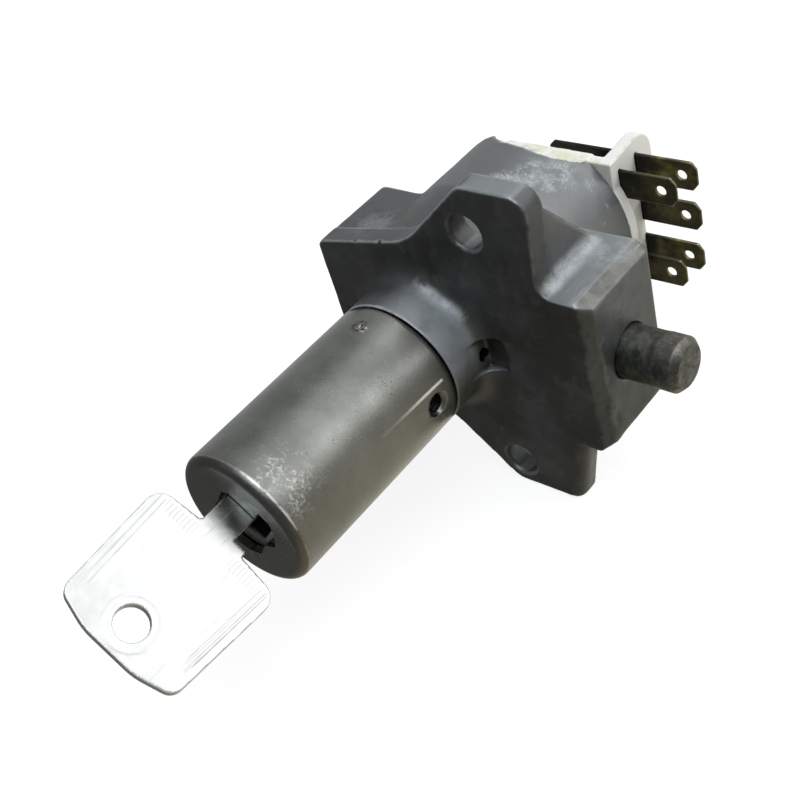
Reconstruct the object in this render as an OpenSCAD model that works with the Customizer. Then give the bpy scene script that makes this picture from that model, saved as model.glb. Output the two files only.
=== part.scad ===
// Steering-lock ignition switch of a motorcycle.
// The lock axis runs along Y, the key comes out towards -Y and the blade
// terminals sit at +Y. The locking bolt slides along +X. The origin is on the
// lock axis, in the plane of the flange's front mounting face.

/* [Barrel] */
// Outer radius of the steel sleeve
sleeve_r = 14; // [13.8:0.1:14.4]
// Wall of the steel sleeve
sleeve_wall = 1.4; // [1.2:0.1:1.5]
// Front face of the sleeve, in front of the flange
sleeve_front = 53.7; // [52:0.1:56]
// Joint between sleeve and casting, in front of the flange
sleeve_joint = 9.9; // [9:0.1:11]
// Round on the sleeve's front edge
sleeve_round = 1.2; // [0.8:0.1:1.6]
// Thickness of the sleeve's front wall
front_wall = 1.5; // [1.2:0.1:1.8]

/* [Lock] */
// Radius of the lock plug
plug_r = 7; // [6.8:0.1:7.2]
// Running clearance of the plug in its barrel
run_gap = 0.05; // [0.03:0.01:0.08]
// Angle of the key at rest, about the lock axis
key_a = 40.5; // [35:0.5:46]
// Number of wafers
wafer_n = 5; // [3:1:6]
// Distance from wafer to wafer
wafer_pitch = 4.2; // [3.8:0.1:4.4]

/* [Key] */
// Thickness of the key
key_t = 2.2; // [1.8:0.1:2.3]
// Half width of the bow at its shoulder
bow_w = 13.8; // [12:0.1:15]
// Radius of the ring hole in the bow
bow_hole_r = 3.1; // [2.5:0.1:3.5]

/* [Casting] */
// Thickness of the two screw ears
ear_t = 4.9; // [4:0.1:6]
// Distance between the two screw holes
hole_pitch = 54.5; // [53.5:0.1:55.5]
// Sideways place of the screw holes
hole_x = 15.75; // [15:0.05:16.5]
// Radius of the screw holes
hole_r = 3.5; // [3.2:0.05:3.8]
// Depth of the cross block behind the flange face
block_d = 20.5; // [20:0.1:22]
// Half height of the cross block
block_z = 17; // [16.5:0.1:17.5]
// Left end of the cross block
block_x0 = -23.4; // [-24:0.1:-23]
// Right end of the cross block
block_x1 = 38.5; // [38:0.1:40]
// Radius of the round rear boss
boss_r = 20.9; // [20.5:0.1:21.5]
// Rear rim of the boss
boss_y = 40.9; // [40.5:0.1:42]

/* [Bolt] */
// Radius of the locking bolt
bolt_r = 5.2; // [5:0.05:5.4]
// Free end of the locking bolt, extended
bolt_end = 50.1; // [49:0.1:51.5]
// Distance of the bolt axis behind the flange face
bolt_y = 10.45; // [10.2:0.05:10.7]
// Crank radius that draws the bolt back
crank_e = 7.7; // [7.4:0.05:7.8]
// Radius of the crank pin
crank_pin_r = 2; // [1.8:0.1:2]

/* [Switch] */
// Thickness of the moulded base plate
base_t = 2.5; // [2.2:0.1:3]
// Outer face of the terminal wall
wall_x = 18.1; // [17.5:0.1:18.5]
// Thickness of the terminal wall
wall_t = 2.7; // [2.4:0.1:3]
// Rear edge of the terminal wall
wall_y = 55.6; // [54:0.1:56]
// Half height of the base plate and its terminal wall
base_z = 16; // [15.5:0.1:16.5]
// Width of a blade terminal
blade_w = 6.3; // [6.2:0.05:6.4]
// Thickness of a blade terminal
blade_t = 0.8; // [0.75:0.05:0.85]
// Free tip of the longest blade terminal
blade_tip = 31.5; // [29:0.5:33]
// Distance from blade to blade, along the wall
blade_pitch = 9.8; // [9.4:0.1:10]

/* [Hidden] */
$fn = 64;

barrel_in = sleeve_r - sleeve_wall;            // inside of the sleeve
spigot_r = barrel_in - 0.05;                   // spigot of the casting in the sleeve
barrel_r = 10.4;                               // lock barrel
sf = -sleeve_front;                            // front face of the sleeve
plug_f = sf + front_wall + 0.2;                // front face of the plug
plug_b = -13;                                  // rear face of the plug body
blade_y1 = -24;                                // tip of the key blade
keyway_w0 = -5.35;                             // keyway, across
keyway_w1 = 1.55;
journal_r = 5;                                 // driver journal
cav_y0 = 3;                                    // crank cavity, front
cav_y1 = 16.6;                                 // crank cavity, rear
cav_r = 15;
rear_r = 17.5;                                 // switch cavity
pin_x = crank_e*cos(45);                       // crank pin at rest
slot_h = crank_pin_r + 0.4;                    // half width of the yoke slot
yoke_x = pin_x + slot_h + 2.6;                 // shoulder between fork and bolt
contact_r = 5.6;                               // circle of the contacts
base_y = boss_y;                               // front face of the base plate
front_row = base_y + base_t;                   // front row of blades, front face
rear_row = base_y + 8.55;                      // rear row of blades, front face
screw_at = [[-15.4, 11.4], [-15.4, -11.4]];    // base screws
wafer_y = [for (i = [0:wafer_n - 1]) -46 + i*wafer_pitch];

// unit vector, and a polygon with each corner [x, y, r] rounded by radius r
function unit(v) = v/norm(v);
function corner(a, p, b, r) =
    let (u = unit([a[0] - p[0], a[1] - p[1]]), v = unit([b[0] - p[0], b[1] - p[1]]),
         h = acos(max(-1, min(1, u*v)))/2, t = r/tan(h),
         c = [p[0], p[1]] + unit(u + v)*r/sin(h),
         s = [p[0], p[1]] + u*t - c, e = [p[0], p[1]] + v*t - c,
         a0 = atan2(s[1], s[0]), da = atan2(e[1], e[0]) - a0,
         d = da > 180 ? da - 360 : da < -180 ? da + 360 : da)
    [for (i = [0:6]) c + r*[cos(a0 + d*i/6), sin(a0 + d*i/6)]];
function rounded(q) = [for (i = [0:len(q) - 1])
    let (n = len(q), p = q[i])
    each p[2] > 0 ? corner(q[(i + n - 1) % n], p, q[(i + 1) % n], p[2]) : [[p[0], p[1]]]];

// prism of an [x, z] outline along Y, of a [y, z] outline along X
module along_y(y0, y1) { translate([0, y1, 0]) rotate([90, 0, 0]) linear_extrude(y1 - y0) children(); }
module along_x(x0, x1) { translate([x0, 0, 0]) rotate([90, 0, 90]) linear_extrude(x1 - x0) children(); }
module cyl_y(r, y0, y1) { translate([0, y0, 0]) rotate([-90, 0, 0]) cylinder(r = r, h = y1 - y0); }
module cyl_x(r, x0, x1) { translate([x0, 0, 0]) rotate([0, 90, 0]) cylinder(r = r, h = x1 - x0); }
module cyl_z(r, z0, z1) { translate([0, 0, z0]) cylinder(r = r, h = z1 - z0); }
// body of revolution about the lock axis from a [radius, y] outline
module turned(pts) { rotate([-90, 0, 0]) rotate_extrude() polygon(pts); }
// turn into the key's own plane: x across the blade, z across its thickness
module keyed() { rotate([0, key_a, 0]) children(); }

// coil of round wire along Z, as a swept tube
module coil(r, wire, length, turns, sides = 8, per = 12) {
    n = floor(turns*per);
    ring = function (i) let (a = 360*i/per, z = length*i/n)
        [for (k = [0:sides - 1]) let (b = 360*k/sides)
            [(r + wire*cos(b))*cos(a), (r + wire*cos(b))*sin(a), z + wire*sin(b)]];
    pts = [for (i = [0:n]) each ring(i)];
    polyhedron(pts, concat([[for (k = [sides - 1:-1:0]) k]],
        [for (i = [0:n - 1]) for (k = [0:sides - 1])
            [i*sides + (k + 1) % sides, (i + 1)*sides + (k + 1) % sides, (i + 1)*sides + k, i*sides + k]],
        [[for (k = [0:sides - 1]) n*sides + k]]));
}

flange = rounded([
    [block_x0, block_z, 2], [0.6, 22, 15], [16.4, 36.9, 4], [30.5, 36.8, 4], [28.7, block_z, 2.5],
    [36, block_z, 0], [36, -block_z, 0], [32.7, -block_z, 0], [29.2, -33, 1.5], [14.6, -33, 4],
    [-1.2, -18.6, 12], [block_x0, -block_z, 2]]);
block_front = rounded([
    [block_x0, block_z, 1.6], [block_x1 - 2.6, block_z, 0], [block_x1, block_z - 1.7, 0],
    [block_x1, 1.7 - block_z, 0], [block_x1 - 2.6, -block_z, 0], [block_x0, -block_z, 1.6]]);
block_top = rounded([
    [block_x0, 0, 2], [block_x1 - 1.8, 0, 0], [block_x1, 2.1, 0], [block_x1, block_d - 0.8, 0],
    [block_x1 - 0.8, block_d, 0], [block_x0, block_d, 1.5]]);
neck = concat([[8, -sleeve_joint], [sleeve_r, -sleeve_joint], [sleeve_r, -3.8]],
    [for (i = [1:8]) [sleeve_r + 3.8 - 3.8*cos(90*i/8), -3.8 + 3.8*sin(90*i/8)]],
    [[sleeve_r + 3.8, 1], [8, 1]]);
// opening in the sleeve's front wall, wide enough for the blade to turn
glass = [[-4.2, 3.6], [-1.8, 7], [1.5, 7.9], [5.4, 7.6], [8, 6.6], [8.5, 1.6], [7.2, -2.6],
    [4.2, -3.6], [1.8, -7], [-1.5, -7.4], [-4.6, -6], [-5.9, -2.6], [-5.9, 0.6], [-5.4, 2.6]];

// recess in the boss rim, and the lug of the base plate that lies in it
lug_recess = [[-14.5, boss_y + 1], [-14.5, boss_y - 0.8], [-7.6, boss_y - 1], [-6.6, boss_y - 2.2], [-3.4, boss_y - 4.2],
    [2, boss_y - 5.1], [5.4, boss_y - 5.3], [8.2, boss_y - 4.7], [11.5, boss_y - 2.3], [13.5, boss_y - 0.3], [13.5, boss_y + 1]];
lug = [[-7.2, base_y + base_t], [-7.2, base_y - 0.5], [-6.3, base_y - 1.7], [-3.2, base_y - 3.8], [2.1, base_y - 4.7],
    [5.3, base_y - 4.9], [7.9, base_y - 4.4], [11.1, base_y - 2], [12.9, base_y + 0.1], [12.9, base_y + base_t]];

// zinc casting: flange with two ears, cross block, neck, spigot and rear boss
module housing() {
    color([0.45, 0.47, 0.48]) difference() {
        union() {
            difference() {
                along_y(0, ear_t) polygon(flange);
                // soft front edge of the lower ear
                translate([29.2, 0, -33]) rotate([0, atan2(3.5, 33 - block_z), 0]) difference() {
                    translate([-2.4, -1, -3]) cube([4, 3.4, 24]);
                    translate([-2.4, 2.4, -4]) cylinder(r = 2.4, h = 26);
                }
            }
            intersection() {
                along_y(0, block_d) polygon(block_front);
                translate([0, 0, -block_z]) linear_extrude(2*block_z) polygon(block_top);
            }
            cyl_y(boss_r, 2, boss_y);
            // ribs between the ears and the block
            for (s = [[1, 33.5], [-1, 30.2]])
                along_x(23.6, 28.7) polygon([[1, s[0]*14], [1, s[0]*s[1]], [ear_t, s[0]*(s[1] - 0.5)],
                    [18.8, s[0]*block_z], [18.8, s[0]*14]]);
            turned(neck);
            turned([[9, sf + front_wall + 0.3], [spigot_r, sf + front_wall + 0.3], [spigot_r, -sleeve_joint + 1], [9, -sleeve_joint + 1]]);
        }
        // screw holes
        for (s = [1, -1]) translate([hole_x, 0, s*hole_pitch/2]) {
            cyl_y(hole_r, -1, ear_t + 1);
            turned([[0, -0.5], [hole_r + 0.95, -0.5], [hole_r, 0.45], [0, 0.45]]);
        }
        // seat of the lock barrel, journal of the driver
        cyl_y(barrel_r + 0.05, sf - 1, -8.5);
        cyl_y(journal_r + run_gap, -9, cav_y0 + 1);
        // crank cavity and switch cavity
        cyl_y(cav_r, cav_y0, cav_y1 + 1);
        cyl_y(rear_r, cav_y1, boss_y + 1);
        // guide bore of the bolt and spring bore, from end to end of the block
        translate([0, bolt_y, 0]) {
            cyl_x(bolt_r + run_gap, 5, block_x1 + 1);
            cyl_x(5, block_x0 - 1, -5);
        }
        // recess in the boss rim for the base plate's lug
        translate([0, 0, 15.7]) linear_extrude(10) polygon(lug_recess);
        // slot in the neck's fillet at the driver pin
        intersection() {
            turned([[sleeve_r - 0.15, -5], [sleeve_r + 4.6, -5], [sleeve_r + 4.6, 0.75], [sleeve_r - 0.15, 0.75]]);
            translate([9, -6, -3.35]) cube([14, 8, 7.35]);
        }
        // cross holes: sleeve screw, sleeve pin, driver pin
        translate([0, -15.3, 0]) { cyl_x(1.8, 9, 20); cyl_z(1, 9, 20); }
        translate([0, -0.65, 0]) cyl_x(1.3, 4, 18);
        // tapped holes of the base screws
        for (p = screw_at) translate([p[0], 0, p[1]]) cyl_y(1.3, 33, 50);
    }
}

// drawn steel sleeve over the spigot
module barrel_sleeve() {
    color([0.62, 0.61, 0.57]) difference() {
        turned(concat(
            [[0, sf], [sleeve_r - sleeve_round, sf]],
            [for (i = [1:8]) [sleeve_r - sleeve_round + sleeve_round*sin(90*i/8), sf + sleeve_round - sleeve_round*cos(90*i/8)]],
            [[sleeve_r, -sleeve_joint - 0.5], [sleeve_r - 0.15, -sleeve_joint - 0.35], [barrel_in, -sleeve_joint - 0.35],
             [barrel_in, sf + front_wall], [0, sf + front_wall]]));
        along_y(sf - 1, sf + front_wall + 1) polygon(glass);
        translate([0, -15.3, 0]) {
            cyl_x(1.8, 9, 20);
            translate([sleeve_r - 0.75, 0, 0]) rotate([0, 90, 0]) cylinder(r1 = 1.8, r2 = 2.75, h = 1);
            cyl_z(1, 9, 20);
        }
    }
}

// grub screw that holds the sleeve, with a hexagon socket
module sleeve_screw() {
    color([0.25, 0.25, 0.25]) translate([0, -15.3, 0]) difference() {
        cyl_x(1.75, barrel_r + 0.3, spigot_r - 0.5);
        translate([spigot_r - 1.4, 0, 0]) rotate([0, 90, 0]) cylinder(r = 0.9, h = 3, $fn = 6);
    }
}

// staked pin on top of the sleeve
module sleeve_pin() {
    color([0.6, 0.6, 0.58]) translate([0, -15.3, 0]) difference() {
        cyl_z(0.95, barrel_r + 0.6, sleeve_r + 0.02);
        translate([0, 0, sleeve_r + 0.35]) sphere(r = 0.7);
    }
}

// lock barrel with wafer grooves for both key-out positions
module lock_barrel() {
    color([0.72, 0.62, 0.4]) difference() {
        cyl_y(barrel_r, sf + front_wall + 0.3, -8.7);
        cyl_y(plug_r + run_gap, sf, -12.6);
        cyl_y(8.6, -12.7, -8);
        // grooves across the bore, one pair for each key-out position
        keyed() for (a = [0, -90]) rotate([0, a, 0])
            translate([-8.6, -49, -3.2]) cube([17.2, 25, 6.4]);
    }
}

// pin through the neck that keeps the driver in place
module driver_pin() {
    color([0.3, 0.3, 0.3]) translate([0, -0.65, 0]) cyl_x(1.25, 4.35, 11.5);
}

// rotating plug with keyway and wafer slots
module lock_plug() {
    color([0.7, 0.68, 0.62]) difference() {
        union() {
            cyl_y(plug_r, plug_f, plug_b);
            cyl_y(6, plug_b - 1, -8.9);
        }
        // groove of the retaining clip
        difference() { cyl_y(9, -12, -10.9); cyl_y(5.2, -13, -10); }
        keyed() {
            translate([keyway_w0, sf, -key_t/2 - 0.15]) cube([keyway_w1 - keyway_w0, blade_y1 + 1.5 - sf, key_t + 0.5]);
            // relief beside the keyway, in the front face
            translate([1.1, plug_f - 1, -3.4]) cube([3.6, 4, 7.4]);
            for (y = wafer_y) translate([-9, y - 0.85, -2.75]) {
                cube([18, 1.7, 5.5]);
                translate([9.8, 0, 5.4]) cube([4.4, 1.7, 1.95]);
            }
        }
        // tail slot for the driver's tang
        translate([-1.6, -11, -10]) cube([3.2, 3, 20]);
    }
}

// open retaining clip in the plug's groove
module plug_clip() {
    color([0.4, 0.4, 0.4]) difference() {
        cyl_y(8.2, -11.95, -10.95);
        cyl_y(5.25, -13, -10);
        translate([-1.5, -13, -10]) cube([3, 3, 10]);
    }
}

// wafers, each with a window for the blade and an ear for its spring
module wafers() {
    color([0.78, 0.66, 0.35]) keyed() for (y = wafer_y) difference() {
        intersection() {
            union() {
                translate([-7, y - 0.7, -2.6]) cube([14, 1.4, 5.2]);
                translate([1.8, y - 0.7, 2]) cube([1.2, 1.4, 2.4]);
            }
            cyl_y(plug_r - 0.05, -60, 0);
        }
        translate([keyway_w0 - 0.2, y - 1, -key_t/2 - 0.2]) cube([keyway_w1 - keyway_w0 + 1.4, 2, key_t + 0.4]);
    }
}

// one small coil spring beside each wafer
module wafer_springs() {
    color([0.75, 0.75, 0.72]) keyed() for (y = wafer_y)
        translate([3.3, y, 3.6]) rotate([0, 90, 0]) coil(0.5, 0.14, 1.6, 4, 6, 10);
}

// flat key: bow with ring hole, stop, and blade cut on one edge
module key() {
    s = sf - 4.7;
    c = -0.5;
    bow = rounded([[-5.1, s + 1.2, 0], [-5.1, s, 0.8], [c - bow_w, s - 0.9, 3.2], [c - bow_w + 1.3, s - 24.4, 2.6],
        [c - 5.5, s - 26.3, 14], [c + 5.5, s - 26.3, 14], [c + bow_w - 1.3, s - 24.4, 2.6], [c + bow_w, s - 0.9, 3.2], [4.1, s, 0.5], [4.1, s + 1.2, 0.4]]);
    cut = [0.9, 1.3, 0.6, 1.1, 0.8, 1.2];
    blade = concat([[-5.1, s], [-5.1, blade_y1 - 3], [-3.2, blade_y1], [-2, blade_y1], [1.2, blade_y1 - 3]],
        [for (i = [wafer_n - 1:-1:0]) each [[1.25, wafer_y[i] + 1.9], [1.25 - cut[i], wafer_y[i] + 0.7], [1.25 - cut[i], wafer_y[i] - 0.7], [1.25, wafer_y[i] - 1.9]]],
        [[1.25, s]]);
    color([0.88, 0.88, 0.86]) keyed() difference() {
        union() {
            translate([0, 0, -key_t/2]) linear_extrude(key_t) polygon(bow);
            translate([0, 0, -key_t/2]) linear_extrude(key_t) polygon(blade);
        }
        translate([c - 0.5, s - 20.6, -5]) cylinder(r = bow_hole_r, h = 10);
        // warding groove along each side of the blade
        for (m = [0, 1]) mirror([0, 0, m])
            translate([-3.4, s + 9, key_t/2 - 0.6]) cube([1.5, 60, 1]);
    }
}

// driver: tang, journal, crank disc and crank pin
module driver() {
    color([0.55, 0.55, 0.55]) {
        difference() {
            union() {
                translate([-1.5, -10.9, -4.6]) cube([3, 3.2, 9.2]);
                cyl_y(journal_r, -8.4, cav_y0 + 0.4);
                cyl_y(10.2, cav_y0 + 0.2, 4.9);
                translate([pin_x, 0, pin_x]) cyl_y(crank_pin_r, 4, 24);
            }
            // groove for the driver pin
            difference() { cyl_y(9, -2.2, 0.9); cyl_y(4, -3, 2); }
        }
    }
}

// round locking bolt, with a relief behind its nose and a spigot for the fork
module locking_bolt() {
    color([0.4, 0.41, 0.4]) translate([0, bolt_y, 0]) rotate([0, 90, 0]) rotate_extrude() polygon([
        [0, 6.2], [2.6, 6.2], [2.6, yoke_x], [bolt_r, yoke_x], [bolt_r, bolt_end - 12.4], [bolt_r - 0.22, bolt_end - 12.2], [bolt_r - 0.22, bolt_end - 5.4],
        [bolt_r, bolt_end - 5.2], [bolt_r, bolt_end - 0.8], [bolt_r - 0.8, bolt_end], [0, bolt_end]]);
}

// fork behind the bolt, drawn by the crank pin
module bolt_yoke() {
    color([0.5, 0.5, 0.48]) difference() {
        union() {
            translate([pin_x - slot_h - 2.2, bolt_y - 4, -5.6]) cube([2*slot_h + 4.8, 8, 15.8]);
            translate([0, bolt_y, 0]) cyl_x(2.5, -5.5, 2);
        }
        translate([pin_x - slot_h, 0, 2.9]) cube([2*slot_h, 20, 20]);
        translate([0, bolt_y, 0]) cyl_x(2.62, 6.15, 20);
    }
}

// return spring between fork and bore plug
module bolt_spring() {
    color([0.7, 0.7, 0.68]) translate([-19.6, bolt_y, 0]) rotate([0, 90, 0])
        coil(3.6, 0.45, pin_x - slot_h - 2.2 + 19.6 - 0.5, 7);
}

// pressed plug that closes the spring bore
module bore_plug() {
    color([0.5, 0.5, 0.5]) translate([0, bolt_y, 0]) difference() {
        cyl_x(4.98, block_x0 + 0.4, -20.2);
        translate([block_x0 - 2.2, 0, 0]) sphere(r = 3.6);
    }
}

// moulded rotor of the switch, turned by the crank pin
module switch_rotor() {
    color([0.2, 0.2, 0.2]) {
        difference() {
            union() {
                cyl_y(16.6, cav_y1 + 0.7, 21.5);
                cyl_y(11.5, 21, 34);
            }
            translate([pin_x, 0, pin_x]) cyl_y(crank_pin_r + 0.05, 10, 24.5);
            // pockets of the bridge springs
            for (x = [-contact_r, contact_r]) translate([x, 0, 0]) cyl_y(1.8, 27, 40);
            // lightening pockets in the flange
            for (a = [150, 210, 270, 330]) rotate([0, a, 0]) translate([14, 0, 0]) cyl_y(1.6, 19, 23);
        }
        cyl_y(2.9, 30, base_y + base_t + 0.6);
    }
}

// springs under the contact bridge
module contact_spring() {
    color([0.75, 0.75, 0.72]) for (x = [-contact_r, contact_r]) translate([x, 27.4, 0]) rotate([-90, 0, 0])
        coil(1.25, 0.25, 8.2, 5);
}

// sliding contact carried by the rotor
module contact_bridge() {
    color([0.8, 0.62, 0.3]) difference() {
        union() {
            translate([-contact_r - 2.2, 36, -4.3]) cube([2*contact_r + 4.4, 1, 8.6]);
            for (x = [-contact_r, contact_r]) translate([x, 0, 0]) cyl_y(1.6, 36.5, base_y - 1.9);
        }
        cyl_y(2.98, 30, 50);
    }
}

module blade(x0, y, z, tip) {
    a = 1.2;
    translate([0, y + blade_t, z]) rotate([90, 0, 0]) linear_extrude(blade_t) difference() {
        polygon([[x0 + a, -blade_w/2], [tip - a, -blade_w/2], [tip, -blade_w/2 + a + 0.3], [tip, blade_w/2 - a - 0.3],
                 [tip - a, blade_w/2], [x0 + a, blade_w/2], [x0, blade_w/2 - a], [x0, -blade_w/2 + a]]);
        translate([tip - 3.4, 0]) circle(r = 1.1);
    }
}
module blade_slot(x0, y, z) {
    translate([x0 - 0.02, y - 0.02, z - blade_w/2 - 0.02]) cube([40, blade_t + 0.04, blade_w + 0.04]);
}

// places of the five blades: inner end, front face, height, tip
t1 = [-2.2, rear_row, blade_pitch + 0.4, blade_tip];
t2 = [6, front_row, blade_pitch + 0.4, blade_tip - 1.1];
t3 = [3, rear_row, 0.9, blade_tip - 0.1];
t4 = [4.5, rear_row, 0.9 - blade_pitch, blade_tip - 0.4];
t5 = [6, front_row, 0.8 - blade_pitch, blade_tip - 1];
contacts = [for (a = [90, 270, 135, 315, 0]) (a == 0 ? 10 : contact_r)*[cos(a), sin(a)]];

// ivory moulded base: plate, lug, terminal wall and strip supports
module switch_base() {
    color([0.9, 0.89, 0.82]) difference() {
        union() {
            intersection() {
                cyl_y(boss_r - 0.2, base_y, base_y + base_t);
                translate([-30, base_y, -base_z]) cube([60, base_t, 2*base_z]);
            }
            // wing between the round plate and the terminal wall
            translate([6, base_y, -base_z]) cube([wall_x - 6, base_t, 2*base_z]);
            // lug in the rim recess
            translate([0, 0, base_z - 1]) linear_extrude(1.3) polygon(lug);
            // terminal wall, deep at the upper blades, lower beside the other two
            along_x(wall_x - wall_t, wall_x) polygon(rounded([[base_y, -base_z, 0], [base_y + 9.2, -base_z, 1.5], [base_y + 9.2, 6, 1],
                [wall_y, 6, 1.5], [wall_y, base_z + 1, 5], [base_y + 2, base_z, 0], [base_y, base_z, 0]]));
            // pillars under the inner ends of the rear strips
            translate([1.6, base_y + 1, blade_pitch - 2.4]) cube([6, 7.55, 2.9]);
            translate([2.6, base_y + 1, -1.7]) cube([7, 7.55, 5.2]);
            translate([4.1, base_y + 1, -blade_pitch - 1.7]) cube([6, 7.55, 5.2]);
            // ring around the rotor's pivot
            cyl_y(4.2, base_y, base_y + base_t + 1.6);
        }
        for (t = [t1, t2, t3, t4, t5]) blade_slot(t[0], t[1], t[2]);
        cyl_y(2.95, base_y - 1, base_y + base_t + 3);
        for (c = contacts) translate([c[0], 0, c[1]]) cyl_y(1.22, base_y - 4, base_y + 20);
        for (p = screw_at) translate([p[0], 0, p[1]]) cyl_y(1.35, base_y - 1, base_y + base_t + 1);
        // clearance of the casting under the lug
        translate([-8, base_y - 6, 0]) cube([40, 6, 15.75]);
    }
}

module terminal_1() { color([0.45, 0.4, 0.2]) blade(t1[0], t1[1], t1[2], t1[3]); }
module terminal_2() { color([0.45, 0.4, 0.2]) blade(t2[0], t2[1], t2[2], t2[3]); }
module terminal_3() { color([0.45, 0.4, 0.2]) blade(t3[0], t3[1], t3[2], t3[3]); }
module terminal_4() { color([0.45, 0.4, 0.2]) blade(t4[0], t4[1], t4[2], t4[3]); }
module terminal_5() { color([0.45, 0.4, 0.2]) blade(t5[0], t5[1], t5[2], t5[3]); }

// contact rivets through the base plate
module fixed_contacts() {
    color([0.8, 0.62, 0.3]) for (c = contacts) translate([c[0], 0, c[1]]) {
        cyl_y(1.7, base_y - 1.6, base_y);
        cyl_y(1.2, base_y - 1, base_y + base_t + 0.5);
    }
}

// two slotted screws that hold the base on the boss
module base_screws() {
    color([0.55, 0.55, 0.52]) for (p = screw_at) translate([p[0], 0, p[1]]) difference() {
        union() {
            cyl_y(1.25, 34, base_y + base_t + 0.5);
            translate([0, base_y + base_t + 1.5, 0]) rotate([90, 0, 0]) cylinder(r1 = 1.5, r2 = 1.8, h = 1.5);
        }
        translate([-3, base_y + base_t + 0.8, -0.3]) cube([6, 3, 0.6]);
    }
}

housing();
barrel_sleeve();
sleeve_screw();
sleeve_pin();
lock_barrel();
driver_pin();
lock_plug();
plug_clip();
wafers();
wafer_springs();
key();
driver();
locking_bolt();
bolt_yoke();
bolt_spring();
bore_plug();
switch_rotor();
contact_spring();
contact_bridge();
switch_base();
terminal_1();
terminal_2();
terminal_3();
terminal_4();
terminal_5();
fixed_contacts();
base_screws();
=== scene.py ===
import math

import bmesh
import bpy
import numpy as np
from mathutils import Matrix, Vector
from mathutils.kdtree import KDTree


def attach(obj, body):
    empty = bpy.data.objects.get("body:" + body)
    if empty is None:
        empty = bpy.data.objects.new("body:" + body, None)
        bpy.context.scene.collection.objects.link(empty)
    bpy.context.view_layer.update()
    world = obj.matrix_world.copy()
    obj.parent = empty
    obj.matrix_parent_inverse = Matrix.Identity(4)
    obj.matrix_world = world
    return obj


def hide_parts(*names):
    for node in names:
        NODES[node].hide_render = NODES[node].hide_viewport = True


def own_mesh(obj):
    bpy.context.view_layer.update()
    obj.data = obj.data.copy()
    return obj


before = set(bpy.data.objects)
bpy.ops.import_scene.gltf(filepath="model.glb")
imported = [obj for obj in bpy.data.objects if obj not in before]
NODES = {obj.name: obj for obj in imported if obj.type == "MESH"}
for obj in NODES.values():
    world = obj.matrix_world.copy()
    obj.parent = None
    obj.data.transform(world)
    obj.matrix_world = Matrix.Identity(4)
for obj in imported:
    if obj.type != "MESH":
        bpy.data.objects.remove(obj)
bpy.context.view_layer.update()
scene = bpy.context.scene
MM = 0.001

# ------------------------------------------------------------------ camera
cam_data = bpy.data.cameras.new("camera")
cam_data.sensor_width = 36.0
cam_data.lens = 55.577
cam_data.clip_start = 0.01
cam_data.clip_end = 20.0
cam = bpy.data.objects.new("camera", cam_data)
right = Vector((0.75724879, 0.60645031, -0.24247122))
up = Vector((-0.26236023, 0.62242459, 0.73739728))
back = Vector((0.59811486, -0.49477839, 0.63043871))
m = Matrix((right, up, back)).transposed().to_4x4()
m.translation = Vector((0.140927, -0.128410, 0.141722))
cam.matrix_world = m
scene.collection.objects.link(cam)
scene.camera = cam


# ------------------------------------------------------------------ numbers
def lattice(i, seed):
    i = i.astype(np.int64)
    h = (i[:, 0] * 73856093) ^ (i[:, 1] * 19349663) ^ (i[:, 2] * 83492791) ^ (seed * 2654435)
    h = (h ^ (h >> 13)) & 0x7FFFFFFF
    h = (h * 1103515245 + 12345) & 0x7FFFFFFF
    h = (h ^ (h >> 11)) & 0x7FFFFFFF
    h = (h * 69069 + 1) & 0x7FFFFFFF
    return h / float(0x3FFFFFFF) - 1.0


def vnoise(p, seed=1):
    """Smooth value noise at points p, from -1 to 1."""
    f = np.floor(p)
    t = p - f
    t = t * t * t * (t * (t * 6 - 15) + 10)
    f = f.astype(np.int64)
    out = np.zeros(len(p))
    for dx in (0, 1):
        for dy in (0, 1):
            for dz in (0, 1):
                w = (t[:, 0] if dx else 1 - t[:, 0]) * (t[:, 1] if dy else 1 - t[:, 1]) * (t[:, 2] if dz else 1 - t[:, 2])
                out += w * lattice(f + np.array([dx, dy, dz]), seed)
    return out


def step(a, b, x):
    t = np.clip((x - a) / (b - a), 0, 1)
    return t * t * (3 - 2 * t)


# ------------------------------------------------------------------ meshes
def applied(ob):
    """The object's mesh with its modifiers applied; the object goes."""
    dg = bpy.context.evaluated_depsgraph_get()
    dg.update()
    out = bpy.data.meshes.new_from_object(ob.evaluated_get(dg))
    old = ob.data
    bpy.data.objects.remove(ob)
    bpy.data.meshes.remove(old)
    return out


def temp(me):
    ob = bpy.data.objects.new("tmp", me)
    scene.collection.objects.link(ob)
    return ob


def cad_copy(*nodes):
    """The CAD nodes' meshes as one welded mesh, in millimetres."""
    bm = bmesh.new()
    for n in nodes:
        bm.from_mesh(NODES[n].data)
    bmesh.ops.remove_doubles(bm, verts=bm.verts, dist=2e-6)
    bmesh.ops.scale(bm, vec=(1000, 1000, 1000), verts=bm.verts)
    me = bpy.data.meshes.new("copy")
    bm.to_mesh(me)
    bm.free()
    return me


def remeshed(me, voxel):
    ob = temp(me)
    mod = ob.modifiers.new("voxels", "REMESH")
    mod.mode = "VOXEL"
    mod.voxel_size = voxel
    mod.adaptivity = 0.0
    return applied(ob)


def thinned(me, triangles):
    count = sum(len(p.vertices) - 2 for p in me.polygons)
    if count <= triangles:
        return me
    ob = temp(me)
    mod = ob.modifiers.new("fewer", "DECIMATE")
    mod.ratio = triangles / count
    return applied(ob)


def points(me):
    co = np.empty(len(me.vertices) * 3)
    me.vertices.foreach_get("co", co)
    return co.reshape(-1, 3)


def set_points(me, co):
    me.vertices.foreach_set("co", np.ascontiguousarray(co, float).ravel())
    me.update()


def normals(me):
    me.update()
    no = np.empty(len(me.vertices) * 3)
    me.vertices.foreach_get("normal", no)
    return no.reshape(-1, 3)


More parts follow.
